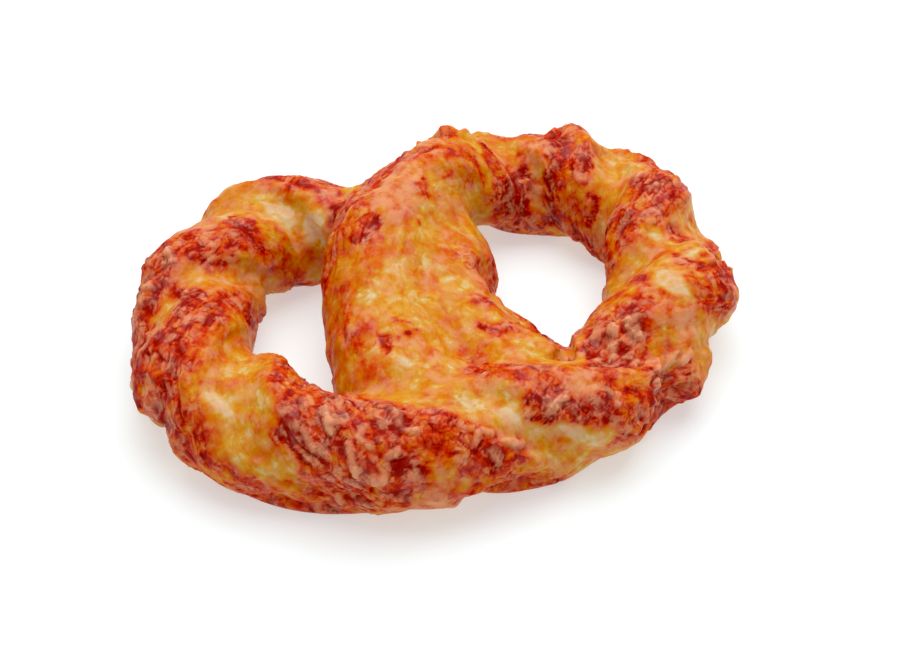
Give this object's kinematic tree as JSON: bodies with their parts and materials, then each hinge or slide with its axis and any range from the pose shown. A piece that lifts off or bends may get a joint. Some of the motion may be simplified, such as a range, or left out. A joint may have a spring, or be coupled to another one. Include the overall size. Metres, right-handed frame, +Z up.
{
  "type": "soft pretzel",
  "caption": "Twisted-rope soft pretzel with a browned cheese crust, two open loops and a broad fused middle bar, baked as one piece with a flat underside.",
  "frame": {"origin": "on the table, under the middle of the pretzel's box", "axes": "+X across the two loops, +Y from the belly to the crossed arms, +Z up from the flat underside"},
  "size_m": [0.1626, 0.1264, 0.0374],
  "materials": {
    "cheese_crust": "soft bread crust under melted and browned grated cheese: yellow to orange, red-brown on the raised parts, slightly greasy"
  },
  "bodies": {
    "root": {"pretzel": "cheese_crust"}
  },
  "joints": []
}
